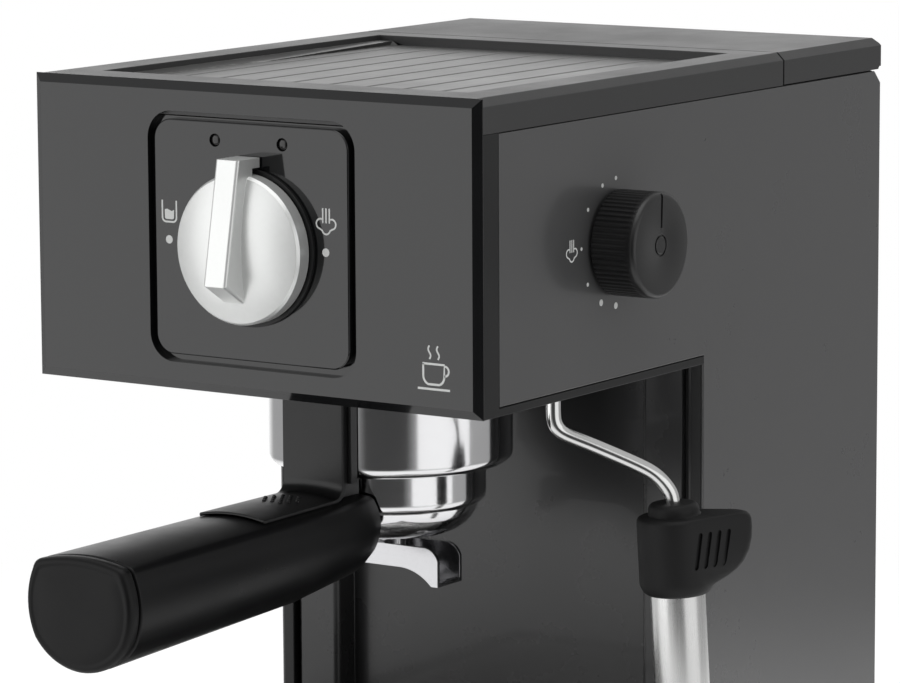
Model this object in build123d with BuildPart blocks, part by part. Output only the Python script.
"""Compact pump espresso machine: slim body, cup-warming tray on top, group with portafilter at
the front, steam wand on the right.  Millimetres, +Z up, the front faces -Y, and the origin lies
on the table under the middle of the whole outline, handle and wand included."""
from build123d import *
from math import cos, radians, sin, tan
import os

# ---------------------------------------------------------------- driving dimensions
WIDTH = 186.0                # over the two steel side panels
DEPTH = 272.0                # front panel to rear cover
HEIGHT = 300.0               # table to cup tray frame
HEAD_H = 106.3               # height of the head that overhangs the cup bay
BASE_TOP = 46.0              # table to the top of the base
FOOT_H = 4.0
COLUMN_Y = 143.0             # front panel to the front of the column

WALL = 5.5                   # plastic side frames
STEEL = 1.0                  # side panels
SHELL = 3.0                  # plastic covers
EDGE_INSET = 3.05            # chamfer round the front panel, seen from the front
EDGE_DEPTH = 1.85            # the same chamfer, seen from the side
FRONT_BAND = 11.3            # plastic in front of each steel panel
TOP_BAND = 11.9              # plastic above each steel panel
TRIM = 2.9                   # plastic below each steel panel

SURROUND = 81.0              # square plate behind the selector knob
GROOVE = 2.75                # groove round that plate
KNOB_R = 25.65
KNOB_DROP = 55.0             # knob centre below the top
STEAM_Y = 84.0               # steam knob centre behind the front
STEAM_DROP = 56.0            # and below the top
STEAM_R = 18.25

TRAY_W = 153.0               # cup tray recess
TRAY_FRONT = 18.0
TRAY_REAR = 187.0
TRAY_DROP = 3.5
LID_SEAM = 199.3             # front of the tank lid

GROUP_Y = 82.5               # group axis behind the front
COLLAR_R = 43.3
COLLAR_H = 33.7
BOWL_R = 33.8
BOWL_DROP = 15.5             # straight part of the bowl below the collar
HANDLE_END = 97.0            # end of the handle in front of the front panel
HANDLE_W = 41.0
HANDLE_H = 38.4

WAND_X = 85.5                # wand outlet in the head's underside
WAND_Y = 56.0
WAND_HEADING = 37.7          # degrees from +X towards +Y
TUBE_R = 2.6
GRIP_R = 12.9
SLEEVE_R = 9.5
WAND_REACH = 67.6            # outlet to the tip of the grip's tab

TRAY_TRAVEL_GAP = 0.5        # drip tray to its bay
TURN_GAP = 0.5               # between parts that turn past each other
SLIP = 0.3                   # between parts that slide past each other
RUNNING = 0.05               # radial clearance of a shaft in its bore

# ---------------------------------------------------------------- placement
GLAND_LENGTH = 9.0           # cord gland behind the rear cover
TAB_R = 4.0                  # round tip of the frother's finger tab
TAB_TIP_X = WAND_X + (WAND_REACH - TAB_R) * cos(radians(WAND_HEADING)) + TAB_R
CENTRE_X = (WIDTH / 2 - TAB_TIP_X) / 2
FRONT_Y = (HANDLE_END - DEPTH - GLAND_LENGTH) / 2

HEAD_Z = HEIGHT - HEAD_H
HALF = WIDTH / 2
INNER = HALF - WALL
KNOB_Z = HEIGHT - KNOB_DROP
STEAM_Z = HEIGHT - STEAM_DROP
COLLAR_Z = HEAD_Z - COLLAR_H


def level(z):
    """Horizontal plane: X to the right of the machine's middle, Y back from its front."""
    return Plane(origin=(CENTRE_X, FRONT_Y, z))


def facing(y):
    """Upright plane looking forward: X to the right, local Y up, normal towards the user."""
    return Plane(origin=(CENTRE_X, FRONT_Y + y, 0), x_dir=(1, 0, 0), z_dir=(0, -1, 0))


def flank(x):
    """Upright plane looking right: local X to the back, local Y up, normal to the right."""
    return Plane(origin=(CENTRE_X + x, FRONT_Y, 0), x_dir=(0, 1, 0), z_dir=(1, 0, 0))


def span(u0, u1, v0, v1, mode=Mode.ADD):
    """Rectangle by its edges, in a sketch."""
    with Locations(((u0 + u1) / 2, (v0 + v1) / 2)):
        Rectangle(u1 - u0, v1 - v0, mode=mode)


def spot(x, y, z):
    """Point in the machine's own X, Y and Z."""
    return Vector(CENTRE_X + x, FRONT_Y + y, z)


def block(x0, x1, y0, y1, z0, z1, mode=Mode.ADD):
    """Box by its faces, in the machine's own X, Y and Z."""
    with Locations((CENTRE_X + (x0 + x1) / 2, FRONT_Y + (y0 + y1) / 2, (z0 + z1) / 2)):
        Box(x1 - x0, y1 - y0, z1 - z0, mode=mode)


def at(plane, u, v):
    """The same plane with its origin moved to (u, v) on it."""
    return Plane(plane * Pos(u, v))


def drum(plane, u, v, radius, length, mode=Mode.ADD):
    """Round bar or hole that starts on a plane at (u, v) and follows the plane's normal."""
    with Locations(at(plane, u, v)):
        Cylinder(radius, length, align=(Align.CENTER, Align.CENTER, Align.MIN), mode=mode)


def spun(plane, outline):
    """Closed outline of (radius, height) points, turned about the normal of a level plane."""
    with BuildPart() as turned:
        with BuildSketch(Plane(plane.origin, x_dir=(1, 0, 0), z_dir=(0, -1, 0))):
            with BuildLine():
                Polyline(*outline, close=True)
            make_face()
        revolve(axis=Axis(plane.origin, (0, 0, 1)))
    return turned.part


def sector(radius, middle, spread):
    """Pie slice about a sketch's origin, in degrees from X."""
    start, end = radians(middle - spread / 2), radians(middle + spread / 2)
    with BuildLine() as slice_line:
        CenterArc((0, 0), radius, middle - spread / 2, spread)
        Line((0, 0), (radius * cos(start), radius * sin(start)))
        Line((radius * cos(end), radius * sin(end)), (0, 0))
    add(make_face(slice_line.edges(), mode=Mode.PRIVATE))


os.makedirs("parts", exist_ok=True)

# ================================================================ body shell
# ---------------------------------------------------------------- side frames and steel panels
PANEL_SEAM = 0.25            # steel panel to the edges of its pocket
BAND_Z = HEIGHT - TOP_BAND
FRONT_SEAM = EDGE_DEPTH + 0.35
HINGE_RELIEF = 3.5           # corner taken off under the lid's hinge
FLOOR_T = SHELL
OUTLET_R = 4.2               # hole the wand leaves the head by
BALL_R = 4.5                 # ball the wand swings on
BALL_RISE = 8.0              # and its centre above the head's underside


def side_frame():
    """Right moulded side: an upside-down L with a pocket for the steel panel."""
    with BuildPart() as frame:
        with BuildSketch(flank(INNER)):
            span(FRONT_SEAM, DEPTH, HEAD_Z, BAND_Z)
            span(COLUMN_Y, DEPTH, BASE_TOP, HEAD_Z)
            with Locations((DEPTH, BAND_Z)):
                Rectangle(2 * HINGE_RELIEF, 2 * HINGE_RELIEF, rotation=45, mode=Mode.SUBTRACT)
        extrude(amount=WALL)
        with BuildSketch(flank(HALF)):
            span(FRONT_BAND, DEPTH, HEAD_Z + TRIM, BAND_Z)
            span(COLUMN_Y, DEPTH, BASE_TOP, HEAD_Z + TRIM)
        extrude(amount=-STEEL, mode=Mode.SUBTRACT)
        drum(flank(INNER), STEAM_Y, STEAM_Z, 7.0, WALL, mode=Mode.SUBTRACT)
        drum(level(HEAD_Z), WAND_X, WAND_Y, OUTLET_R, FLOOR_T, mode=Mode.SUBTRACT)
        drum(level(HEAD_Z + FLOOR_T), WAND_X, WAND_Y, BALL_R + 2 * SLIP, 12.0, mode=Mode.SUBTRACT)
    return frame.part


def side_panel(steam_hole):
    """Steel panel in the right frame's pocket."""
    with BuildPart() as panel:
        with BuildSketch(flank(HALF - STEEL)):
            rear = DEPTH - PANEL_SEAM
            span(FRONT_BAND + PANEL_SEAM, rear, HEAD_Z + TRIM + PANEL_SEAM, BAND_Z - PANEL_SEAM)
            span(COLUMN_Y + PANEL_SEAM, rear, BASE_TOP + PANEL_SEAM, HEAD_Z + 2 * TRIM)
            with Locations((DEPTH, BAND_Z)):
                Rectangle(2 * HINGE_RELIEF, 2 * HINGE_RELIEF, rotation=45, mode=Mode.SUBTRACT)
        extrude(amount=STEEL)
        chamfer(panel.faces().sort_by(Axis.X)[-1].edges(), 0.3)
        if steam_hole:
            drum(flank(INNER), STEAM_Y, STEAM_Z, 6.0, WALL + 1, mode=Mode.SUBTRACT)
    return panel.part


MIDDLE = Plane(origin=(CENTRE_X, 0, 0), z_dir=(1, 0, 0))

side_frame_right = side_frame()
side_frame_right.label = "side_frame_right"
export_step(side_frame_right, "parts/side_frame_right.step")

side_frame_left = side_frame().mirror(MIDDLE)
side_frame_left.label = "side_frame_left"
export_step(side_frame_left, "parts/side_frame_left.step")

side_panel_right = side_panel(steam_hole=True)
side_panel_right.label = "side_panel_right"
export_step(side_panel_right, "parts/side_panel_right.step")

side_panel_left = side_panel(steam_hole=False).mirror(MIDDLE)
side_panel_left.label = "side_panel_left"
export_step(side_panel_left, "parts/side_panel_left.step")

# ---------------------------------------------------------------- front panel with control plate
PANEL_T = 6.0
POCKET = SURROUND + 2 * GROOVE
POCKET_DEPTH = 3.0
SURROUND_Z = HEIGHT - 53.5
LENS_R = 2.2
LENS_Z = HEIGHT - 19.3
LENS_X = (-14.6, 13.5)
SHAFT_R = 3.0

with BuildPart() as front_panel:
    with BuildSketch(facing(FRONT_SEAM)):
        span(-HALF, HALF, HEAD_Z, HEIGHT)
    extrude(amount=FRONT_SEAM)
    front = front_panel.faces().sort_by(Axis.Y)[0]
    chamfer(front.edges(), length=EDGE_INSET, length2=EDGE_DEPTH, reference=front)
    with BuildSketch(facing(PANEL_T)):
        span(-INNER + SLIP, INNER - SLIP, HEAD_Z + SHELL + SLIP, BAND_Z - SLIP)
    extrude(amount=PANEL_T - FRONT_SEAM)
    with BuildSketch(facing(0)):
        with Locations((0, SURROUND_Z)):
            RectangleRounded(POCKET, POCKET, 7 + GROOVE)
    extrude(amount=-POCKET_DEPTH, mode=Mode.SUBTRACT)
    drum(facing(PANEL_T), 0, KNOB_Z, 6.0, PANEL_T, mode=Mode.SUBTRACT)
    for lens_x in LENS_X:
        drum(facing(PANEL_T), lens_x, LENS_Z, LENS_R, PANEL_T, mode=Mode.SUBTRACT)
front_panel.part.label = "front_panel"
export_step(front_panel.part, "parts/front_panel.step")

with BuildPart() as control_plate:
    with BuildSketch(facing(POCKET_DEPTH)):
        with Locations((0, SURROUND_Z)):
            RectangleRounded(SURROUND, SURROUND, 7)
        with Locations((0, KNOB_Z)):
            Circle(5.0, mode=Mode.SUBTRACT)
        with Locations(*[(lens_x, LENS_Z) for lens_x in LENS_X]):
            Circle(LENS_R, mode=Mode.SUBTRACT)
    extrude(amount=POCKET_DEPTH)
    chamfer(control_plate.faces().sort_by(Axis.Y)[0].outer_wire().edges(), 0.4)
control_plate.part.label = "control_plate"
export_step(control_plate.part, "parts/control_plate.step")

with BuildPart() as indicator_lenses:
    for lens_x in LENS_X:
        drum(facing(9.0), lens_x, LENS_Z, LENS_R, 8.4)
        drum(facing(9.0), lens_x, LENS_Z, LENS_R + 1.0, 9.0 - PANEL_T)
indicator_lenses.part.label = "indicator_lenses"
export_step(indicator_lenses.part, "parts/indicator_lenses.step")

# ---------------------------------------------------------------- top frame and cup tray
LEDGE = 4.0                  # carries the cup tray
SHOULDER = 2.8               # chamfer along both sides of the top
TRAY_T = 1.5
TRAY_Z = HEIGHT - TRAY_DROP

with BuildPart() as top_frame:
    with BuildSketch(level(BAND_Z)):
        span(-HALF, HALF, FRONT_SEAM, LID_SEAM - 0.8)
        span(-INNER, INNER, PANEL_T, LID_SEAM - WALL, mode=Mode.SUBTRACT)
    extrude(amount=TOP_BAND)
    with BuildSketch(level(HEIGHT - WALL)):
        span(-INNER, INNER, PANEL_T - 3, LID_SEAM - WALL)
        ledge_x = TRAY_W / 2 - LEDGE
        span(-ledge_x, ledge_x, TRAY_FRONT + LEDGE, TRAY_REAR - LEDGE, mode=Mode.SUBTRACT)
    extrude(amount=WALL)
    with BuildSketch(level(HEIGHT)):
        span(-TRAY_W / 2, TRAY_W / 2, TRAY_FRONT, TRAY_REAR)
    extrude(amount=-TRAY_DROP - TRAY_T, mode=Mode.SUBTRACT)
    for outer in (0, -1):
        rims = top_frame.edges().filter_by(Axis.Y).group_by(Axis.Z)[-1].sort_by(Axis.X)
        chamfer(rims[outer], SHOULDER)
top_frame.part.label = "top_frame"
export_step(top_frame.part, "parts/top_frame.step")

RIB_PITCH = 15.6
RIB_COUNT = 9
with BuildPart() as cup_tray:
    with BuildSketch(level(TRAY_Z - TRAY_T)):
        span(-TRAY_W / 2 + SLIP, TRAY_W / 2 - SLIP, TRAY_FRONT + SLIP, TRAY_REAR - SLIP)
    extrude(amount=TRAY_T)
    with BuildSketch(level(TRAY_Z)):
        with Locations((0, (TRAY_FRONT + TRAY_REAR) / 2)):
            with GridLocations(RIB_PITCH, 0, RIB_COUNT, 1):
                SlotOverall(TRAY_REAR - TRAY_FRONT - 8, 1.8, rotation=90)
    extrude(amount=-0.7, mode=Mode.SUBTRACT)
cup_tray.part.label = "cup_tray"
export_step(cup_tray.part, "parts/cup_tray.step")

# ---------------------------------------------------------------- head floor
FLOOR_BORE = BOWL_R + 4.2
with BuildPart() as head_floor:
    with BuildSketch(level(HEAD_Z)):
        span(-INNER, INNER, FRONT_SEAM, COLUMN_Y + SHELL)
        with Locations((0, GROUP_Y)):
            Circle(FLOOR_BORE, mode=Mode.SUBTRACT)
        with Locations((WAND_X, WAND_Y)):
            Circle(OUTLET_R, mode=Mode.SUBTRACT)
    extrude(amount=FLOOR_T)
head_floor.part.label = "head_floor"
export_step(head_floor.part, "parts/head_floor.step")

# ---------------------------------------------------------------- column front and rear cover
CHEEK_OUT = INNER - 3.5
CHEEK_IN = INNER - 20.5
RECESS = 11.0
COLUMN_BACK = COLUMN_Y + RECESS + SHELL
with BuildPart() as column_front:
    with BuildSketch(level(BASE_TOP)):
        span(-CHEEK_OUT, CHEEK_OUT, COLUMN_Y, COLUMN_BACK)
        span(-CHEEK_OUT - 3 + SLIP, CHEEK_OUT + 3 - SLIP, COLUMN_Y + SHELL, COLUMN_BACK)
        span(-CHEEK_IN, CHEEK_IN, COLUMN_Y, COLUMN_Y + RECESS, mode=Mode.SUBTRACT)
        for side in (-1, 1):
            near, far = sorted((side * (CHEEK_IN + SHELL), side * (CHEEK_OUT - SHELL)))
            span(near, far, COLUMN_Y + SHELL, COLUMN_BACK, mode=Mode.SUBTRACT)
    extrude(amount=HEAD_Z - BASE_TOP)
    lips = column_front.edges().filter_by(Axis.Z).filter_by_position(
        Axis.Y, FRONT_Y + COLUMN_Y - 0.1, FRONT_Y + COLUMN_Y + 0.1)
    fillet(lips.sort_by(Axis.X)[1:3], 2.5)
column_front.part.label = "column_front"
export_step(column_front.part, "parts/column_front.step")

COVER_TOP = HEIGHT - 14.0
SCREW_R = 1.6
SCREW_HEAD_R = 3.0
COVER_SCREWS = ((-75, 70), (75, 70), (-75, 262), (75, 262))
GLAND_X = 50.0
GLAND_Z = 66.0
HINGE_X = 45.0
HINGE_W = 8.0
NOTCH_W = 24.0
with BuildPart() as rear_cover:
    with BuildSketch(facing(DEPTH)):
        span(-INNER + SLIP, INNER - SLIP, BASE_TOP, COVER_TOP)
        for notch_x in (-HINGE_X, HINGE_X):
            span(notch_x - NOTCH_W / 2, notch_x + NOTCH_W / 2, COVER_TOP - 8, COVER_TOP, mode=Mode.SUBTRACT)
        with Locations(*COVER_SCREWS):
            Circle(SCREW_R, mode=Mode.SUBTRACT)
        with Locations((GLAND_X, GLAND_Z)):
            Circle(6.0, mode=Mode.SUBTRACT)
        with Locations((0, 110)):
            with GridLocations(0, 7, 1, 7):
                SlotOverall(70, 2.6, mode=Mode.SUBTRACT)
    extrude(amount=SHELL)
rear_cover.part.label = "rear_cover"
export_step(rear_cover.part, "parts/rear_cover.step")

with BuildPart() as rear_screws:
    for screw_x, screw_z in COVER_SCREWS:
        drum(facing(DEPTH + 1.6), screw_x, screw_z, SCREW_HEAD_R, 1.6)
        drum(facing(DEPTH + 1.6), screw_x, screw_z, SCREW_R, 9.0)
rear_screws.part.label = "rear_screws"
export_step(rear_screws.part, "parts/rear_screws.step")

CORD_BORE_R = 3.8
with BuildPart() as cord_gland:
    drum(facing(DEPTH + GLAND_LENGTH), GLAND_X, GLAND_Z, 6.0, GLAND_LENGTH + SHELL + 3)
    drum(facing(DEPTH + 2.5), GLAND_X, GLAND_Z, 9.0, 2.5)
    drum(facing(DEPTH - SHELL), GLAND_X, GLAND_Z, 8.0, 3.0)
    drum(facing(DEPTH + GLAND_LENGTH), GLAND_X, GLAND_Z, CORD_BORE_R, 40, mode=Mode.SUBTRACT)
cord_gland.part.label = "cord_gland"
export_step(cord_gland.part, "parts/cord_gland.step")

# ================================================================ base
BAY_X = HALF - 7.0
BAY_Y = 138.0
BAY_Z = FOOT_H + SHELL
TRAY_FACE = 8.0
FOOT_R = 9.0
FOOT_SPOTS = ((-76, 22), (76, 22), (-76, 246), (76, 246))

with BuildPart() as base_housing:
    with BuildSketch(level(FOOT_H)):
        span(-HALF, HALF, TRAY_FACE + TURN_GAP, DEPTH)
    extrude(amount=BASE_TOP - FOOT_H)
    block(-BAY_X, BAY_X, 0, BAY_Y, BAY_Z, BASE_TOP, mode=Mode.SUBTRACT)
    block(-HALF + SHELL, HALF - SHELL, BAY_Y + SHELL, DEPTH - SHELL, FOOT_H, BASE_TOP - SHELL,
          mode=Mode.SUBTRACT)
    block(-INNER + SLIP, INNER - SLIP, COLUMN_BACK + 3, DEPTH - 10, BASE_TOP - SHELL, BASE_TOP,
          mode=Mode.SUBTRACT)
    with Locations(*[(CENTRE_X + x, FRONT_Y + y, FOOT_H) for x, y in FOOT_SPOTS[:2]]):
        Cylinder(2.5, 2.0, align=(Align.CENTER, Align.CENTER, Align.MIN), mode=Mode.SUBTRACT)
    chamfer(base_housing.edges().filter_by(Axis.Z).sort_by(Axis.Y)[-2:], 1.5)
base_housing.part.label = "base_housing"
export_step(base_housing.part, "parts/base_housing.step")

with BuildPart() as base_plate:
    with BuildSketch(level(FOOT_H)):
        span(-HALF + SHELL + SLIP, HALF - SHELL - SLIP, BAY_Y + SHELL + SLIP, DEPTH - SHELL - SLIP)
        with Locations(*FOOT_SPOTS[2:]):
            Circle(2.5, mode=Mode.SUBTRACT)
        with Locations((0, 205)):
            with GridLocations(12, 0, 8, 1):
                SlotOverall(44, 3.0, rotation=90, mode=Mode.SUBTRACT)
    extrude(amount=2.5)
base_plate.part.label = "base_plate"
export_step(base_plate.part, "parts/base_plate.step")

with BuildPart() as feet:
    for foot_x, foot_y in FOOT_SPOTS:
        drum(level(0), foot_x, foot_y, FOOT_R, FOOT_H)
        drum(level(0), foot_x, foot_y, 2.5, FOOT_H + 2.0)
    chamfer(feet.edges().filter_by(GeomType.CIRCLE).group_by(Axis.Z)[0], 0.8)
feet.part.label = "feet"
export_step(feet.part, "parts/feet.step")

# ---------------------------------------------------------------- drip tray and grid
DRIP_X = BAY_X - TRAY_TRAVEL_GAP
DRIP_REAR = BAY_Y - 1.0
DRIP_Z = BAY_Z + SLIP
GRID_T = 1.5
GRID_Z = BASE_TOP - 1.0 - GRID_T
GRID_REST = 3.0              # ledge that carries the grid

with BuildPart() as drip_tray:
    block(-DRIP_X, DRIP_X, TRAY_FACE, DRIP_REAR, DRIP_Z, BASE_TOP - 0.5)
    block(-DRIP_X + 2.5, DRIP_X - 2.5, TRAY_FACE + 1, DRIP_REAR - 2.5, GRID_Z, BASE_TOP, mode=Mode.SUBTRACT)
    block(-DRIP_X + 2.5 + GRID_REST, DRIP_X - 2.5 - GRID_REST, TRAY_FACE + 1 + GRID_REST,
          DRIP_REAR - 2.5 - GRID_REST, DRIP_Z + 2.5, BASE_TOP, mode=Mode.SUBTRACT)
    with BuildSketch(facing(TRAY_FACE)):
        span(-HALF, HALF, FOOT_H + 1, BASE_TOP)
    extrude(amount=TRAY_FACE)
    brow = drip_tray.faces().sort_by(Axis.Y)[0]
    chamfer(brow.edges(), length=EDGE_INSET, length2=EDGE_DEPTH, reference=brow)
drip_tray.part.label = "drip_tray"
export_step(drip_tray.part, "parts/drip_tray.step")

with BuildPart() as drip_grid:
    with BuildSketch(level(GRID_Z)):
        span(-DRIP_X + 3.0, DRIP_X - 3.0, TRAY_FACE + 1.5, DRIP_REAR - 3.0)
        with Locations((0, (TRAY_FACE + DRIP_REAR) / 2)):
            with GridLocations(84, 8.6, 2, 13):
                SlotOverall(74, 4.2, mode=Mode.SUBTRACT)
    extrude(amount=GRID_T)
drip_grid.part.label = "drip_grid"
export_step(drip_grid.part, "parts/drip_grid.step")

# ================================================================ controls
# ---------------------------------------------------------------- selector
KNOB_BACK = -2.0
with BuildPart() as knob_ring:
    with BuildSketch(facing(0)):
        with Locations((0, KNOB_Z)):
            Circle(KNOB_R + 1.35)
            Circle(20.0, mode=Mode.SUBTRACT)
    extrude(amount=1.4)
knob_ring.part.label = "knob_ring"
export_step(knob_ring.part, "parts/knob_ring.step")

BAR_W = 9.5
with BuildPart() as selector_knob:
    with BuildSketch(flank(0)):
        with BuildLine():
            Polyline((KNOB_BACK, KNOB_Z), (KNOB_BACK, KNOB_Z + KNOB_R), (-7.0, KNOB_Z + KNOB_R),
                     (-8.2, KNOB_Z + KNOB_R - 0.8))
            ThreePointArc((-8.2, KNOB_Z + KNOB_R - 0.8), (-11.0, KNOB_Z + KNOB_R * 0.52), (-12.0, KNOB_Z))
            Line((-12.0, KNOB_Z), (KNOB_BACK, KNOB_Z))
        make_face()
    revolve(axis=Axis((CENTRE_X, FRONT_Y, KNOB_Z), (0, 1, 0)))
    with BuildSketch(flank(-BAR_W / 2)):
        with Locations((0, KNOB_Z)):
            Polygon((-0.8, 31.0), (-13.0, 31.0), (-21.0, -11.0), (-8.5, -18.7), (-5.0, -18.7),
                    (-5.0, KNOB_R + 2.0), (-0.8, KNOB_R + 2.0), align=None)
    extrude(amount=BAR_W)
    spine = selector_knob.edges().filter_by_position(Axis.Y, FRONT_Y - 22, FRONT_Y - 12.6)
    fillet(spine.filter_by(Axis.X, reverse=True).filter_by(GeomType.LINE), 1.2)
    drum(facing(KNOB_BACK), 0, KNOB_Z, SHAFT_R, 6.0, mode=Mode.SUBTRACT)
selector_knob.part.label = "selector_knob"
export_step(selector_knob.part, "parts/selector_knob.step")

SWITCH_Y = 9.0
with BuildPart() as selector_shaft:
    drum(facing(SWITCH_Y + 12), 0, KNOB_Z, SHAFT_R, SWITCH_Y + 12 - KNOB_BACK + 6.0)
selector_shaft.part.label = "selector_shaft"
export_step(selector_shaft.part, "parts/selector_shaft.step")

with BuildPart() as selector_switch:
    block(-19, 19, SWITCH_Y, SWITCH_Y + 24, KNOB_Z - 16, KNOB_Z + 16)
    block(-24, 24, PANEL_T, SWITCH_Y, KNOB_Z - 5, KNOB_Z + 5)
    drum(facing(SWITCH_Y + 13), 0, KNOB_Z, SHAFT_R + RUNNING, 20, mode=Mode.SUBTRACT)
    for blade_x in (-12, -4, 4, 12):
        for blade_z in (-8, 8):
            with Locations((CENTRE_X + blade_x, FRONT_Y + SWITCH_Y + 27, KNOB_Z + blade_z)):
                Box(4.8, 6.0, 0.8)
selector_switch.part.label = "selector_switch"
export_step(selector_switch.part, "parts/selector_switch.step")

# ---------------------------------------------------------------- steam knob and valve
STEM_R = 4.0
STEAM_KNOB_X = HALF + 1.5
STEAM_KNOB_H = 17.0
VALVE_X0 = 48.0
VALVE_X1 = 78.0
with BuildPart() as steam_knob:
    drum(flank(STEAM_KNOB_X), STEAM_Y, STEAM_Z, STEAM_R, STEAM_KNOB_H)
    fillet(steam_knob.faces().sort_by(Axis.X)[-1].edges(), 1.8)
    flutes = at(flank(STEAM_KNOB_X), STEAM_Y, STEAM_Z)
    with BuildSketch(flutes):
        with PolarLocations(STEAM_R + 0.15, 60):
            Circle(0.5)
    extrude(amount=STEAM_KNOB_H - 4, mode=Mode.SUBTRACT)
    with BuildSketch(flutes.offset(STEAM_KNOB_H)):
        with Locations((0, 11.5)):
            SlotOverall(11, 1.2, rotation=90)
        Circle(3.75)
        Circle(3.0, mode=Mode.SUBTRACT)
    extrude(amount=-0.5, mode=Mode.SUBTRACT)
    drum(flank(STEAM_KNOB_X), STEAM_Y, STEAM_Z, STEM_R, 10.0, mode=Mode.SUBTRACT)
steam_knob.part.label = "steam_knob"
export_step(steam_knob.part, "parts/steam_knob.step")

with BuildPart() as steam_stem:
    drum(flank(VALVE_X0 + 14), STEAM_Y, STEAM_Z, STEM_R, STEAM_KNOB_X + 10.0 - VALVE_X0 - 14)
steam_stem.part.label = "steam_stem"
export_step(steam_stem.part, "parts/steam_stem.step")

PIPE_R = 2.5
with BuildPart() as steam_valve:
    drum(flank(VALVE_X0), STEAM_Y, STEAM_Z, 9.0, VALVE_X1 - VALVE_X0)
    block(VALVE_X0 + 3, VALVE_X0 + 13, STEAM_Y - 8, STEAM_Y + 8, STEAM_Z - 14, STEAM_Z)
    drum(flank(VALVE_X0 + 12), STEAM_Y, STEAM_Z, STEM_R + RUNNING, 40, mode=Mode.SUBTRACT)
steam_valve.part.label = "steam_valve"
export_step(steam_valve.part, "parts/steam_valve.step")

# ================================================================ water circuit
# ---------------------------------------------------------------- boiler
BOILER_R = 34.0
BOILER_FLANGE_R = 42.0
BOILER_Z = HEAD_Z + FLOOR_T
SPLIT_Z = BOILER_Z + 34.0
BOLT_PCD = 76.0
group = at(level(0), 0, GROUP_Y)
WATER_BORE = 2.0

BOILER_IN = BOILER_R - 5.0
SEAL_T = 2.0
BOILER_TOP = SPLIT_Z + 30.0

boiler_lower = spun(group, [
    (WATER_BORE, BOILER_Z), (FLOOR_BORE - 1, BOILER_Z), (FLOOR_BORE - 1, BOILER_Z + 6),
    (BOILER_R, BOILER_Z + 6), (BOILER_R, SPLIT_Z - 6), (BOILER_FLANGE_R, SPLIT_Z - 6),
    (BOILER_FLANGE_R, SPLIT_Z), (BOILER_IN, SPLIT_Z), (BOILER_IN, BOILER_Z + 10), (WATER_BORE, BOILER_Z + 10)])
boiler_upper = spun(group, [
    (0, BOILER_TOP), (BOILER_R - 8, BOILER_TOP), (BOILER_R, BOILER_TOP - 8), (BOILER_R, SPLIT_Z + 8),
    (BOILER_FLANGE_R, SPLIT_Z + 8), (BOILER_FLANGE_R, SPLIT_Z + SEAL_T), (BOILER_IN, SPLIT_Z + SEAL_T),
    (BOILER_IN, BOILER_TOP - 10), (BOILER_IN - 5, BOILER_TOP - 5), (0, BOILER_TOP - 5)])
boiler_gasket = spun(group, [
    (BOILER_IN, SPLIT_Z), (BOILER_R + 1, SPLIT_Z), (BOILER_R + 1, SPLIT_Z + SEAL_T),
    (BOILER_IN, SPLIT_Z + SEAL_T)])

with BuildPart() as bolt_holes:
    with Locations(at(level(SPLIT_Z - 8), 0, GROUP_Y)):
        with PolarLocations(BOLT_PCD / 2, 6, start_angle=30):
            Cylinder(2.1, 20, align=(Align.CENTER, Align.CENTER, Align.MIN))
boiler_lower = boiler_lower - bolt_holes.part
boiler_lower.label = "boiler_lower"
export_step(boiler_lower, "parts/boiler_lower.step")
boiler_upper = boiler_upper - bolt_holes.part
boiler_upper.label = "boiler_upper"
export_step(boiler_upper, "parts/boiler_upper.step")
boiler_gasket.label = "boiler_gasket"
export_step(boiler_gasket, "parts/boiler_gasket.step")

with BuildPart() as boiler_bolts:
    with Locations(at(level(SPLIT_Z - 8), 0, GROUP_Y)):
        with PolarLocations(BOLT_PCD / 2, 6, start_angle=30):
            Cylinder(2.0, 16, align=(Align.CENTER, Align.CENTER, Align.MIN))
    with Locations(at(level(SPLIT_Z + 8), 0, GROUP_Y)):
        with PolarLocations(BOLT_PCD / 2, 6, start_angle=30):
            Cylinder(3.5, 4, align=(Align.CENTER, Align.CENTER, Align.MIN))
boiler_bolts.part.label = "boiler_bolts"
export_step(boiler_bolts.part, "parts/boiler_bolts.step")

with BuildPart() as heating_element:
    with BuildSketch(facing(GROUP_Y)):
        with Locations((20, BOILER_Z + 17)):
            Circle(3.5)
    revolve(axis=Axis((CENTRE_X, FRONT_Y + GROUP_Y, 0), (0, 0, 1)), revolution_arc=300)
heating_element.part.label = "heating_element"
export_step(heating_element.part, "parts/heating_element.step")

with BuildPart() as thermostats:
    for stat_x in (-14.0, 14.0):
        drum(level(BOILER_TOP), stat_x, GROUP_Y, 8.0, 7.0)
        drum(level(BOILER_TOP), stat_x, GROUP_Y, 5.5, 10.0)
        for lug_x in (stat_x - 6, stat_x + 6):
            block(lug_x - 0.4, lug_x + 0.4, GROUP_Y - 3, GROUP_Y + 3, BOILER_TOP + 7, BOILER_TOP + 14)
thermostats.part.label = "thermostats"
export_step(thermostats.part, "parts/thermostats.step")

# ---------------------------------------------------------------- group head
RIM_Z = COLLAR_Z + 13.0      # rim of the portafilter bowl
LUG_T = 5.0
LUG_R = BOWL_R + 3.4
LUG_TOP = RIM_Z - 2.0
COLLAR_IN = LUG_R + 0.8
GASKET_T = 6.0
BASKET_RIM = 1.0
GASKET_Z = RIM_Z + BASKET_RIM + SLIP

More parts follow.
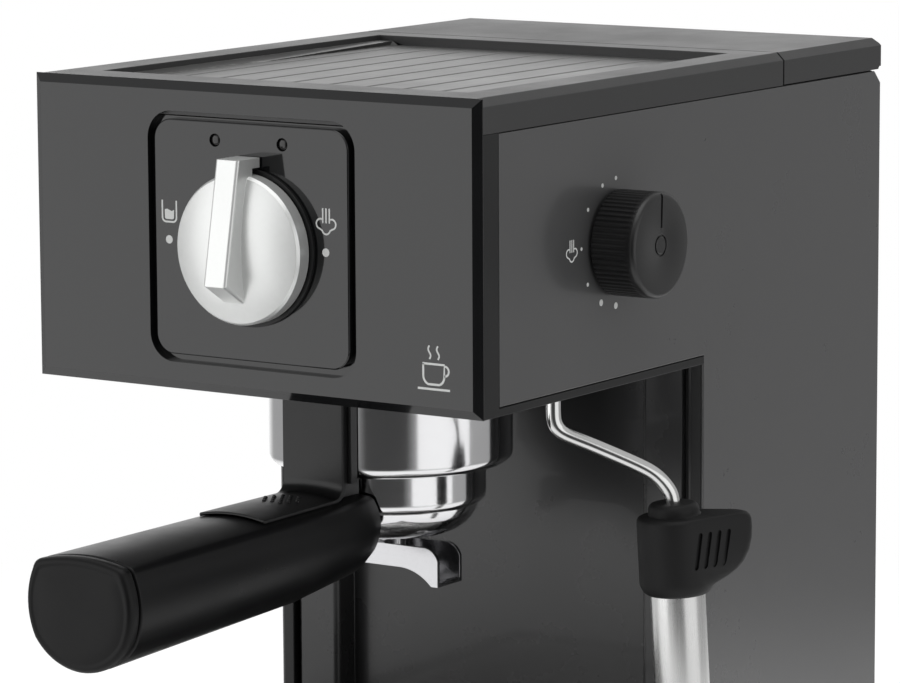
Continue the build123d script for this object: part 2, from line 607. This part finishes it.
with BuildPart() as group_collar:
    drum(level(COLLAR_Z), 0, GROUP_Y, COLLAR_R, COLLAR_H)
    fillet(group_collar.faces().sort_by(Axis.Z)[0].edges(), 3.5)
    drum(level(COLLAR_Z), 0, GROUP_Y, BOWL_R + TURN_GAP, COLLAR_H, mode=Mode.SUBTRACT)
    drum(level(LUG_TOP - LUG_T - SLIP), 0, GROUP_Y, COLLAR_IN, COLLAR_H, mode=Mode.SUBTRACT)
    with BuildSketch(at(level(COLLAR_Z), 0, GROUP_Y)):
        for entry_angle in (-50, 130):
            sector(COLLAR_IN, entry_angle, 38)
    extrude(amount=COLLAR_H, mode=Mode.SUBTRACT)
group_collar.part.label = "group_collar"
export_step(group_collar.part, "parts/group_collar.step")

GASKET_IN = 26.0
GASKET_TOP = GASKET_Z + GASKET_T
SCREEN_T = 1.5

group_head = spun(group, [
    (6.0, GASKET_Z + SCREEN_T), (GASKET_IN, GASKET_Z + SCREEN_T), (GASKET_IN, GASKET_TOP),
    (COLLAR_IN, GASKET_TOP), (COLLAR_IN, HEAD_Z), (FLOOR_BORE - 0.5, HEAD_Z), (FLOOR_BORE - 0.5, BOILER_Z),
    (WATER_BORE, BOILER_Z), (WATER_BORE, GASKET_TOP + 4), (6.0, GASKET_TOP + 4)])
group_head.label = "group_head"
export_step(group_head, "parts/group_head.step")

group_gasket = spun(group, [
    (GASKET_IN, GASKET_Z), (COLLAR_IN - 1, GASKET_Z), (COLLAR_IN - 1, GASKET_TOP), (GASKET_IN, GASKET_TOP)])
group_gasket.label = "group_gasket"
export_step(group_gasket, "parts/group_gasket.step")

with BuildPart() as shower_screen:
    with BuildSketch(at(level(GASKET_Z), 0, GROUP_Y)):
        Circle(25.5)
        Circle(2.0, mode=Mode.SUBTRACT)
        for ring, holes in ((8, 10), (13, 16), (18, 24), (22, 30)):
            with PolarLocations(ring, holes):
                Circle(0.6, mode=Mode.SUBTRACT)
    extrude(amount=SCREEN_T)
shower_screen.part.label = "shower_screen"
export_step(shower_screen.part, "parts/shower_screen.step")

with BuildPart() as shower_screw:
    drum(level(GASKET_Z - 1.6), 0, GROUP_Y, 4.0, 1.6)
    drum(level(GASKET_Z - 1.6), 0, GROUP_Y, WATER_BORE, 1.6 + GASKET_T + 10)
shower_screw.part.label = "shower_screw"
export_step(shower_screw.part, "parts/shower_screw.step")

# ---------------------------------------------------------------- pump, hoses and wiring blocks
PUMP_X = -42.0
PUMP_Y = 182.0
PUMP_R = 16.0
with BuildPart() as pump_body:
    drum(level(72), PUMP_X, PUMP_Y, 11.0, 78.0)
    drum(level(132), PUMP_X, PUMP_Y, 14.0, 10.0)
    drum(level(150), PUMP_X, PUMP_Y, 4.0, 12.0)
    drum(level(60), PUMP_X, PUMP_Y, 4.0, 12.0)
pump_body.part.label = "pump_body"
export_step(pump_body.part, "parts/pump_body.step")

with BuildPart() as pump_coil:
    block(PUMP_X - 20, PUMP_X + 20, PUMP_Y - PUMP_R, PUMP_Y + PUMP_R, 84, 124)
    drum(level(84), PUMP_X, PUMP_Y, 11.0, 40, mode=Mode.SUBTRACT)
    fillet(pump_coil.edges().filter_by(Axis.Z).group_by(Axis.Z)[0].filter_by(GeomType.LINE), 3.0)
pump_coil.part.label = "pump_coil"
export_step(pump_coil.part, "parts/pump_coil.step")

with BuildPart() as pump_mount:
    block(PUMP_X - 24, PUMP_X + 24, COLUMN_BACK, PUMP_Y + 14, 125, 128)
    block(PUMP_X - 24, PUMP_X + 24, COLUMN_BACK, COLUMN_BACK + 3, 100, 128)
    drum(level(100), PUMP_X, PUMP_Y, 11.0, 40, mode=Mode.SUBTRACT)
    block(PUMP_X - 21, PUMP_X + 21, PUMP_Y - PUMP_R - 1, PUMP_Y + PUMP_R + 1, 60, 124.5, mode=Mode.SUBTRACT)
pump_mount.part.label = "pump_mount"
export_step(pump_mount.part, "parts/pump_mount.step")

HOSE_R = 3.0
with BuildPart() as pressure_hose:
    with BuildLine() as route:
        FilletPolyline(spot(PUMP_X, PUMP_Y, 162), spot(PUMP_X, PUMP_Y, 215), spot(-30, 150, 278),
                       spot(0, GROUP_Y + 16, 278), spot(0, GROUP_Y + 16, BOILER_TOP), radius=(20, 20, 6))
    with BuildSketch(Plane(route.line @ 0, z_dir=route.line % 0)):
        Circle(HOSE_R)
    sweep()
pressure_hose.part.label = "pressure_hose"
export_step(pressure_hose.part, "parts/pressure_hose.step")

TANK_Y0 = 207.0
TANK_Y1 = 262.0
TANK_Z0 = 66.0
TANK_TOP = HEIGHT - 15.0
TANK_X = 79.0
SEAT_X = 20.0
SEAT_Y = 232.0
with BuildPart() as suction_hose:
    with BuildLine() as route:
        FilletPolyline(spot(SEAT_X, SEAT_Y, BASE_TOP + 6), spot(SEAT_X, SEAT_Y, 26), spot(PUMP_X, PUMP_Y, 26),
                       spot(PUMP_X, PUMP_Y, 60), radius=9)
    with BuildSketch(Plane(route.line @ 0, z_dir=route.line % 0)):
        Circle(HOSE_R)
    sweep()
suction_hose.part.label = "suction_hose"
export_step(suction_hose.part, "parts/suction_hose.step")

with BuildPart() as steam_pipe:
    with BuildLine() as route:
        FilletPolyline(spot(VALVE_X0 + 8, STEAM_Y, STEAM_Z - 14), spot(VALVE_X0 + 8, STEAM_Y, 222),
                       spot(WAND_X - 4, WAND_Y, 216), spot(WAND_X - 4, WAND_Y, HEAD_Z + 17), radius=(5, 2.6))
    with BuildSketch(Plane(route.line @ 0, z_dir=route.line % 0)):
        Circle(1.8)
    sweep()
steam_pipe.part.label = "steam_pipe"
export_step(steam_pipe.part, "parts/steam_pipe.step")

with BuildPart() as terminal_block:
    block(30, 66, 176, 190, 70, 84)
    for post in range(3):
        drum(level(78), 37 + 11 * post, 183, 2.2, 10, mode=Mode.SUBTRACT)
    block(30, 66, COLUMN_BACK, 176, 70, 73)
terminal_block.part.label = "terminal_block"
export_step(terminal_block.part, "parts/terminal_block.step")

# ---------------------------------------------------------------- water tank with its lid
TANK_WALL = 2.5
PIN_R = 1.5
HINGE_Y = DEPTH - 0.5
HINGE_Z = HEIGHT - 12.0
KNUCKLE_R = 2.8
with BuildPart() as tank_well:
    block(-TANK_X - 3, TANK_X + 3, TANK_Y0 - 3.5, TANK_Y0 - 1, BASE_TOP, TANK_TOP - 10)
    block(-TANK_X - 3, TANK_X + 3, TANK_Y0 - 3.5, DEPTH - SHELL - 1, BASE_TOP, BASE_TOP + SHELL)
    drum(level(BASE_TOP), SEAT_X, SEAT_Y, 12.0, 12.0)
    drum(level(BASE_TOP), SEAT_X, SEAT_Y, HOSE_R, 6.0, mode=Mode.SUBTRACT)
    drum(level(BASE_TOP), SEAT_X, SEAT_Y, 2.0, 30.0, mode=Mode.SUBTRACT)
    block(30, 70, 215, 255, BASE_TOP, BASE_TOP + SHELL, mode=Mode.SUBTRACT)
tank_well.part.label = "tank_well"
export_step(tank_well.part, "parts/tank_well.step")

with BuildPart() as water_tank:
    block(-TANK_X, TANK_X, TANK_Y0, TANK_Y1, TANK_Z0, TANK_TOP)
    fillet(water_tank.edges().filter_by(Axis.Z), 6.0)
    block(-TANK_X - 5, TANK_X + 5, TANK_Y0 - 3, TANK_Y1 + 2, TANK_TOP - 3, TANK_TOP)
    for side in (-1, 1):
        near = side * HINGE_X - HINGE_W / 2
        far = side * HINGE_X + HINGE_W / 2
        block(near, far, TANK_Y1, HINGE_Y, TANK_TOP - 4, HINGE_Z + 1)
        drum(flank(near), HINGE_Y, HINGE_Z, KNUCKLE_R, HINGE_W)
    with BuildSketch(level(TANK_Z0 + TANK_WALL)):
        with Locations((0, (TANK_Y0 + TANK_Y1) / 2)):
            RectangleRounded(2 * (TANK_X - TANK_WALL), TANK_Y1 - TANK_Y0 - 2 * TANK_WALL, 4.0)
    extrude(amount=HEIGHT, mode=Mode.SUBTRACT)
    drum(flank(-100), HINGE_Y, HINGE_Z, PIN_R, 200, mode=Mode.SUBTRACT)
    drum(level(TANK_Z0 - 1), SEAT_X, SEAT_Y, 5.0, 8.0, mode=Mode.SUBTRACT)
water_tank.part.label = "water_tank"
export_step(water_tank.part, "parts/water_tank.step")

with BuildPart() as tank_valve:
    drum(level(TANK_Z0 - 4), SEAT_X, SEAT_Y, 7.0, 4.0)
    drum(level(TANK_Z0 - 4), SEAT_X, SEAT_Y, 5.0, 12.0)
    drum(level(TANK_Z0 - 4), SEAT_X, SEAT_Y, 2.0, 30.0, mode=Mode.SUBTRACT)
tank_valve.part.label = "tank_valve"
export_step(tank_valve.part, "parts/tank_valve.step")

LID_Z = BAND_Z + SLIP
LEAF_W = 7.0
with BuildPart() as tank_lid:
    block(-HALF, HALF, LID_SEAM, DEPTH, LID_Z, HEIGHT)
    crest = tank_lid.faces().sort_by(Axis.Z)[-1].edges()
    chamfer(crest.filter_by(Axis.Y), SHOULDER)
    chamfer(tank_lid.edges().filter_by(Axis.X).group_by(Axis.Z)[-1].sort_by(Axis.Y)[-1], 2.0)
    block(-HALF + SHELL, HALF - SHELL, LID_SEAM + SHELL, DEPTH - SHELL, LID_Z, HEIGHT - SHELL,
          mode=Mode.SUBTRACT)
    for side in (-1, 1):
        near = side * HINGE_X - HINGE_W / 2 - SLIP
        far = side * HINGE_X + HINGE_W / 2 + SLIP
        block(near, far, DEPTH - 10, DEPTH, LID_Z - 1, HINGE_Z + KNUCKLE_R + SLIP, mode=Mode.SUBTRACT)
        for start in (near - LEAF_W, far):
            block(start, start + LEAF_W, HINGE_Y - KNUCKLE_R, HINGE_Y, HINGE_Z, LID_Z + 1)
            drum(flank(start), HINGE_Y, HINGE_Z, KNUCKLE_R, LEAF_W)
    drum(flank(-100), HINGE_Y, HINGE_Z, PIN_R, 200, mode=Mode.SUBTRACT)
tank_lid.part.label = "tank_lid"
export_step(tank_lid.part, "parts/tank_lid.step")

with BuildPart() as lid_pins:
    for side in (-1, 1):
        drum(flank(side * HINGE_X - HINGE_W / 2 - SLIP - LEAF_W), HINGE_Y, HINGE_Z, PIN_R - RUNNING,
             HINGE_W + 2 * SLIP + 2 * LEAF_W)
lid_pins.part.label = "lid_pins"
export_step(lid_pins.part, "parts/lid_pins.step")

# ================================================================ portafilter
BOWL_Z = COLLAR_Z - BOWL_DROP
BASKET_R = BOWL_R - 3.8
SPOUT_Z = BOWL_Z - 10.5      # underside of the bowl
BASKET_BORE = BASKET_R + SLIP
portafilter_bowl = spun(group, [
    (4.0, SPOUT_Z), (15.0, SPOUT_Z), (20.5, BOWL_Z - 9.6), (25.3, BOWL_Z - 7.7), (28.5, BOWL_Z - 4.9),
    (30.7, BOWL_Z - 1.4), (31.1, BOWL_Z + 1.0), (33.0, BOWL_Z + 2.0), (BOWL_R, BOWL_Z + 4.0), (BOWL_R, RIM_Z),
    (BASKET_BORE, RIM_Z), (BASKET_BORE, BOWL_Z + 2.5), (12.0, BOWL_Z - 6.0), (4.0, BOWL_Z - 7.5)])
with BuildPart() as lugs:
    with BuildSketch(at(level(LUG_TOP - LUG_T), 0, GROUP_Y)):
        for lug_angle in (0, 180):
            sector(LUG_R, lug_angle, 30)
        Circle(BOWL_R - 1, mode=Mode.SUBTRACT)
    extrude(amount=LUG_T)
portafilter_bowl = portafilter_bowl + lugs.part
NECK_Z = BOWL_Z + 4.0
NECK_R = 6.0
NECK_GAP = 2.0               # bowl to the inner end of the handle
SHANK_R = 4.0
SHANK_L = 28.0               # shank inside the handle
BOLT_R = 2.5
HANDLE_IN = GROUP_Y - BOWL_R - NECK_GAP
with BuildPart() as neck:
    drum(facing(GROUP_Y - BOWL_R + 3), 0, NECK_Z, NECK_R, 3 + NECK_GAP)
    drum(facing(GROUP_Y - BOWL_R), 0, NECK_Z, SHANK_R, NECK_GAP + SHANK_L)
    drum(facing(HANDLE_IN - SHANK_L + 10), 0, NECK_Z, BOLT_R, 10.0, mode=Mode.SUBTRACT)
portafilter_bowl = portafilter_bowl + neck.part
portafilter_bowl.label = "portafilter_bowl"
export_step(portafilter_bowl, "parts/portafilter_bowl.step")

with BuildPart() as filter_basket:
    drum(level(RIM_Z), 0, GROUP_Y, BOWL_R - 0.6, BASKET_RIM)
    drum(level(RIM_Z - 22), 0, GROUP_Y, BASKET_R, 22)
    drum(level(RIM_Z - 21.2), 0, GROUP_Y, BASKET_R - 0.8, 30, mode=Mode.SUBTRACT)
    with BuildSketch(at(level(RIM_Z - 23), 0, GROUP_Y)):
        for ring, holes in ((0, 1), (5, 6), (10, 12), (15, 18), (20, 24)):
            with PolarLocations(ring, holes):
                Circle(0.5)
    extrude(amount=4, mode=Mode.SUBTRACT)
filter_basket.part.label = "filter_basket"
export_step(filter_basket.part, "parts/filter_basket.step")

# ---------------------------------------------------------------- spout
SPOUT_W = 15.5
SPOUT_WALL = 1.5
MOUTH_X = 24.8               # open ends of the trough
MOUTH_Z = SPOUT_Z - 16.8     # lowest edge of the open ends
TROUGH_Z = SPOUT_Z - 11.0    # underside of the trough's middle
TROUGH_TOP = SPOUT_Z - 3.0
with BuildPart() as spout:
    with BuildSketch(facing(GROUP_Y + SPOUT_W / 2)):
        with BuildLine():
            Line((-18, TROUGH_TOP), (18, TROUGH_TOP))
            ThreePointArc((18, TROUGH_TOP), (22.8, TROUGH_TOP - 1.4), (MOUTH_X, TROUGH_TOP - 4.5))
            Polyline((MOUTH_X, TROUGH_TOP - 4.5), (MOUTH_X, MOUTH_Z), (22.0, MOUTH_Z))
            ThreePointArc((22.0, MOUTH_Z), (16.0, MOUTH_Z + 4.2), (9.0, TROUGH_Z))
            Line((9.0, TROUGH_Z), (-9.0, TROUGH_Z))
            ThreePointArc((-9.0, TROUGH_Z), (-16.0, MOUTH_Z + 4.2), (-22.0, MOUTH_Z))
            Polyline((-22.0, MOUTH_Z), (-MOUTH_X, MOUTH_Z), (-MOUTH_X, TROUGH_TOP - 4.5))
            ThreePointArc((-MOUTH_X, TROUGH_TOP - 4.5), (-22.8, TROUGH_TOP - 1.4), (-18, TROUGH_TOP))
        make_face()
    extrude(amount=SPOUT_W)
    with BuildSketch(facing(GROUP_Y + SPOUT_W / 2 - SPOUT_WALL)):
        with BuildLine():
            lip_z = MOUTH_Z + SPOUT_WALL
            bed_z = TROUGH_Z + SPOUT_WALL
            Polyline((23.0, lip_z), (MOUTH_X + 3, lip_z), (MOUTH_X + 3, SPOUT_Z), (-MOUTH_X - 3, SPOUT_Z),
                     (-MOUTH_X - 3, lip_z), (-23.0, lip_z))
            ThreePointArc((-23.0, lip_z), (-16.8, MOUTH_Z + 5.7), (-9.5, bed_z))
            Line((-9.5, bed_z), (9.5, bed_z))
            ThreePointArc((9.5, bed_z), (16.8, MOUTH_Z + 5.7), (23.0, lip_z))
        make_face()
    extrude(amount=SPOUT_W - 2 * SPOUT_WALL, mode=Mode.SUBTRACT)
    drum(level(TROUGH_Z + 1), 0, GROUP_Y, 5.0, SPOUT_Z - TROUGH_Z - 1)
    drum(level(SPOUT_Z - 4), 0, GROUP_Y, 4.0, 7.0)
    drum(level(SPOUT_Z - 5.5), 0, GROUP_Y, 2.5, 20.0, mode=Mode.SUBTRACT)
    block(-8, 8, GROUP_Y - 1.5, GROUP_Y + 1.5, SPOUT_Z - 5.5, SPOUT_Z - 1.5, mode=Mode.SUBTRACT)
spout.part.label = "spout"
export_step(spout.part, "parts/spout.step")

# ---------------------------------------------------------------- handle, its cap and the guard
HANDLE_TOP = HEAD_Z - 39.1   # crest of the handle
CAP_T = 6.0
handle_stations = (
    (-HANDLE_END + CAP_T, HANDLE_W, HANDLE_H),
    (10.0, 38.5, 34.8),
    (44.0, 37.0, 31.0),
    (55.0, 33.0, 25.0))


def shield(width, height, top):
    """Handle section, for a BuildLine: crowned top, small shoulders, full round underside."""
    half = width / 2
    rim = (half * 0.756, top - height * 0.052)
    shoulder = (half * 0.888, top - height * 0.13)
    low = (half * 0.868, top - height * 0.742)
    ThreePointArc((-rim[0], rim[1]), (0, top), rim)
    ThreePointArc(rim, (half * 0.84, top - height * 0.080), shoulder)
    ThreePointArc(shoulder, (half, top - height * 0.43), low)
    ThreePointArc(low, (0, top - height), (-low[0], low[1]))
    ThreePointArc((-low[0], low[1]), (-half, top - height * 0.43), (-shoulder[0], shoulder[1]))
    ThreePointArc((-shoulder[0], shoulder[1]), (-half * 0.84, top - height * 0.080), (-rim[0], rim[1]))


BOLT_SEAT = -57.0            # shoulder in the handle that the bolt head pulls on

with BuildPart() as handle:
    for station_y, station_w, station_h in handle_stations:
        with BuildSketch(facing(station_y)):
            with BuildLine():
                shield(station_w, station_h, HANDLE_TOP)
            make_face()
    loft(ruled=True)
    drum(level(0), 0, GROUP_Y, BOWL_R + NECK_GAP, HEAD_Z, mode=Mode.SUBTRACT)
    drum(facing(GROUP_Y - BOWL_R), 0, NECK_Z, NECK_R + SLIP, NECK_GAP, mode=Mode.SUBTRACT)
    drum(facing(HANDLE_IN), 0, NECK_Z, SHANK_R, SHANK_L, mode=Mode.SUBTRACT)
    drum(facing(HANDLE_IN), 0, NECK_Z, BOLT_R, 200.0, mode=Mode.SUBTRACT)
    drum(facing(BOLT_SEAT), 0, NECK_Z, 5.5, 60.0, mode=Mode.SUBTRACT)
handle.part.label = "handle"
export_step(handle.part, "parts/handle.step")

CAP_EDGE = 1.8
with BuildPart() as handle_cap:
    with BuildSketch(facing(-HANDLE_END + CAP_T)):
        with BuildLine():
            shield(HANDLE_W, HANDLE_H, HANDLE_TOP)
        make_face()
    extrude(amount=CAP_T - CAP_EDGE)
    with BuildSketch(facing(-HANDLE_END + CAP_EDGE)):
        with BuildLine():
            shield(HANDLE_W, HANDLE_H, HANDLE_TOP)
        make_face()
    with BuildSketch(facing(-HANDLE_END)):
        with BuildLine():
            shield(HANDLE_W - 2 * CAP_EDGE, HANDLE_H - 2 * CAP_EDGE, HANDLE_TOP - CAP_EDGE)
        make_face()
    loft(ruled=True)
handle_cap.part.label = "handle_cap"
export_step(handle_cap.part, "parts/handle_cap.step")

with BuildPart() as handle_bolt:
    drum(facing(HANDLE_IN - SHANK_L + 10), 0, NECK_Z, BOLT_R, HANDLE_IN - SHANK_L + 10 - BOLT_SEAT)
    drum(facing(BOLT_SEAT), 0, NECK_Z, 5.0, 5.0)
handle_bolt.part.label = "handle_bolt"
export_step(handle_bolt.part, "parts/handle_bolt.step")

GUARD_T = 1.3                # thumb plate on the handle
GUARD_FRONT = -13.0
GUARD_FACE = 34.5            # front of the upright plate
GUARD_REAR = 37.6
GUARD_TOP = HEAD_Z - 1.5
GUARD_HALF = 13.7
UPRIGHT_HALF = 12.7
SADDLE_HALF = 14.5
CREST = HANDLE_TOP + 0.15
ELBOW = CREST + GUARD_T
with BuildPart() as finger_guard:
    with BuildSketch(facing(GUARD_REAR)):
        with BuildLine():
            ThreePointArc((-GUARD_HALF, CREST - 1.5), (0, CREST), (GUARD_HALF, CREST - 1.5))
            Line((GUARD_HALF, CREST - 1.5), (GUARD_HALF, ELBOW - 1.5))
            ThreePointArc((GUARD_HALF, ELBOW - 1.5), (0, ELBOW), (-GUARD_HALF, ELBOW - 1.5))
            Line((-GUARD_HALF, ELBOW - 1.5), (-GUARD_HALF, CREST - 1.5))
        make_face()
    extrude(amount=GUARD_REAR - GUARD_FRONT)
    with BuildSketch(flank(-UPRIGHT_HALF)):
        with BuildLine():
            bend_y = GUARD_FACE - 4.5
            Line((bend_y, CREST + 0.4), (bend_y, ELBOW - 0.4))
            ThreePointArc((bend_y, ELBOW - 0.4), (GUARD_FACE - 1.2, ELBOW + 0.9), (GUARD_FACE, ELBOW + 4.0))
            Polyline((GUARD_FACE, ELBOW + 4.0), (GUARD_FACE, GUARD_TOP), (GUARD_REAR, GUARD_TOP),
                     (GUARD_REAR, CREST + 0.4), (bend_y, CREST + 0.4))
        make_face()
    extrude(amount=2 * UPRIGHT_HALF)
    with BuildSketch(level(CREST)):
        span(-SADDLE_HALF, SADDLE_HALF, GUARD_REAR - 0.2, GROUP_Y - 20)
        with Locations((0, GROUP_Y)):
            Circle(BOWL_R + 1.2, mode=Mode.SUBTRACT)
    extrude(amount=GUARD_TOP - CREST)
    drum(level(COLLAR_Z - 0.7), 0, GROUP_Y, COLLAR_R + 0.8, HEAD_Z, mode=Mode.SUBTRACT)
finger_guard.part.label = "finger_guard"
export_step(finger_guard.part, "parts/finger_guard.step")

# ================================================================ steam wand
HEAD_DIR = Vector(cos(radians(WAND_HEADING)), sin(radians(WAND_HEADING)), 0)
outlet = Vector(CENTRE_X + WAND_X, FRONT_Y + WAND_Y, 0)
SLEEVE_TILT = 3.0
GRIP_TOP = HEIGHT - 143.5
SLEEVE_END = HEIGHT - 232.0


def wand_point(s, z):
    """Point in the wand's upright plane, s out from the outlet."""
    return outlet + HEAD_DIR * s + Vector(0, 0, z)


# The straight lower stretch leans outward, and the grip and sleeve share its axis.
SLEEVE_S = 40.9
lower_dir = (wand_point(tan(radians(SLEEVE_TILT)) * 100, -100) - wand_point(0, 0)).normalized()
grip_side = HEAD_DIR - lower_dir * HEAD_DIR.dot(lower_dir)
grip_plane = Plane(origin=wand_point(SLEEVE_S, GRIP_TOP), x_dir=grip_side, z_dir=lower_dir)
SLEEVE_LENGTH = GRIP_TOP - SLEEVE_END

with BuildPart() as wand_tube:
    foot = grip_plane.origin + lower_dir * (SLEEVE_LENGTH - 12)
    with BuildLine() as route:
        FilletPolyline(wand_point(0, HEAD_Z + 12), wand_point(0, HEIGHT - 117), wand_point(10, HEIGHT - 121.5),
                       wand_point(28.3, HEIGHT - 130), grip_plane.origin - lower_dir * 5, foot,
                       radius=(5.2, 9, 9, 7))
    with BuildSketch(Plane(route.line @ 0, z_dir=route.line % 0)):
        Circle(TUBE_R)
    sweep()
    with Locations((CENTRE_X + WAND_X, FRONT_Y + WAND_Y, HEAD_Z + BALL_RISE)):
        Sphere(BALL_R)
wand_tube.part.label = "wand_tube"
export_step(wand_tube.part, "parts/wand_tube.step")

with BuildPart() as wand_socket:
    block(WAND_X - 11, INNER - SLIP, WAND_Y - 8, WAND_Y + 8, HEAD_Z + FLOOR_T, HEAD_Z + 17)
    with Locations((CENTRE_X + WAND_X, FRONT_Y + WAND_Y, HEAD_Z + BALL_RISE)):
        Sphere(BALL_R + SLIP, mode=Mode.SUBTRACT)
    drum(level(HEAD_Z), WAND_X, WAND_Y, TUBE_R + 2 * SLIP, 14.0, mode=Mode.SUBTRACT)
    drum(level(HEAD_Z + BALL_RISE), WAND_X - 4, WAND_Y, 1.8, 12.0, mode=Mode.SUBTRACT)
wand_socket.part.label = "wand_socket"
export_step(wand_socket.part, "parts/wand_socket.step")

GRIP_L = 31.5
with BuildPart() as wand_grip:
    with BuildSketch(grip_plane.offset(4.5)):
        Circle(GRIP_R)
        with Locations((WAND_REACH - SLEEVE_S - 1.0 - TAB_R, 0)):
            Circle(TAB_R)
        make_hull()
    extrude(amount=GRIP_L - 4.5 - 4)
    with BuildSketch(grip_plane):
        Circle(8.8)
    with BuildSketch(grip_plane.offset(4.6)):
        Circle(GRIP_R)
    loft()
    drum(grip_plane.offset(GRIP_L - 4.5), 0, 0, GRIP_R - 1, 4.5)
    drum(grip_plane.offset(-1), 0, 0, TUBE_R + SLIP, SLEEVE_LENGTH, mode=Mode.SUBTRACT)
wand_grip.part.label = "wand_grip"
export_step(wand_grip.part, "parts/wand_grip.step")

with BuildPart() as wand_sleeve:
    drum(grip_plane.offset(GRIP_L), 0, 0, SLEEVE_R, SLEEVE_LENGTH - GRIP_L)
    fillet(wand_sleeve.edges().filter_by(GeomType.CIRCLE).sort_by(Axis.Z)[0], 3.0)
    drum(grip_plane.offset(GRIP_L - 1), 0, 0, SLEEVE_R - 1.0, SLEEVE_LENGTH - GRIP_L - 4, mode=Mode.SUBTRACT)
    drum(grip_plane.offset(SLEEVE_LENGTH - 8), 0, 0, 1.5, 10, mode=Mode.SUBTRACT)
wand_sleeve.part.label = "wand_sleeve"
export_step(wand_sleeve.part, "parts/wand_sleeve.step")
